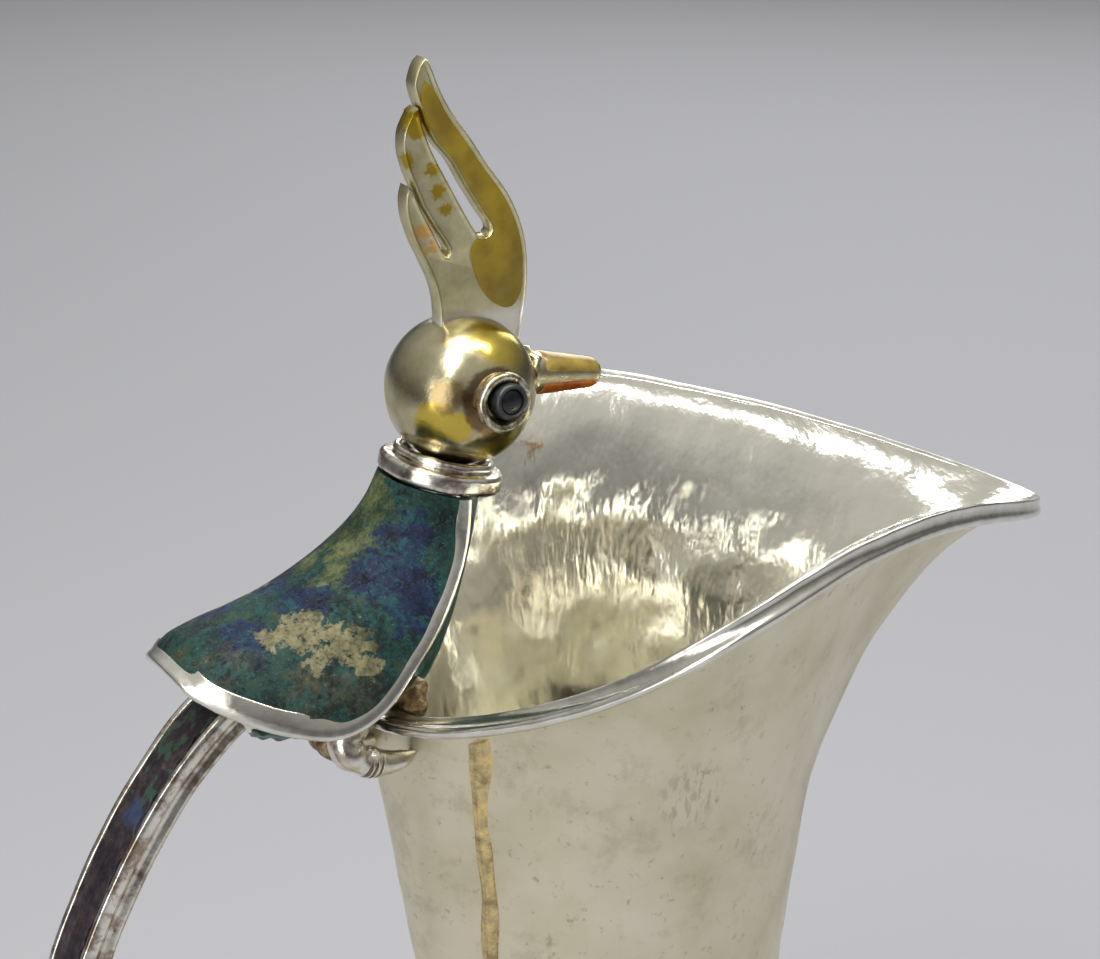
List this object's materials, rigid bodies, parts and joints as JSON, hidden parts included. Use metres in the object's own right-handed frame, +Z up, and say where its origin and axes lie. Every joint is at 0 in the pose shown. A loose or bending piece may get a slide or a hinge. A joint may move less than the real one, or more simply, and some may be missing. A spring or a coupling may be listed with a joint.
{
  "type": "water pitcher",
  "caption": "Flared silver pitcher with a pear-shaped body and a spout, held by the long tail of a crested bird that perches on the rim.",
  "frame": {"origin": "centre of the base's flat underside", "axes": "+X towards the spout, +Z up the body, +Y across the pitcher; the tail handle lies towards -X"},
  "size_m": [0.1997, 0.115, 0.3133],
  "materials": {
    "silver": "satin hand-worked silver plate",
    "gilt": "pale worn brass with a thin silver plate",
    "braze": "bright brazing line",
    "tarnish": "dull brown solder",
    "mosaic": "crushed blue and green stone set in resin",
    "green": "dark green crushed stone set in resin",
    "dark": "dark purple stone inlay",
    "enamel": "translucent olive yellow enamel",
    "amber": "translucent amber enamel",
    "grey": "dark grey polished bead",
    "black": "polished black stone"
  },
  "bodies": {
    "root": {"body_shell": "silver", "base_disc": "silver", "foot_ring": "silver", "rim_band": "silver", "neck_seam": "braze", "cape_stone": "mosaic", "cape_band": "silver", "bird_torso": "silver", "breast_stone": "green", "belly_stone": "green", "tail_strap": "silver", "tail_inlay": "dark", "tail_pad": "silver", "foot_near": "silver", "foot_far": "silver", "rim_lug": "tarnish", "neck_collar": "silver", "neck_wire": "silver", "head_ball": "gilt", "crest_plate": "gilt", "beak_core": "gilt", "beak_inlay_upper": "enamel", "beak_inlay_lower": "amber", "crest_enamel_near": "enamel", "crest_enamel_far": "enamel", "eye_cup_near": "silver", "eye_cup_far": "silver", "eye_bead_near": "grey", "eye_bead_far": "grey", "pupil_near": "black", "pupil_far": "black"}
  },
  "joints": []
}
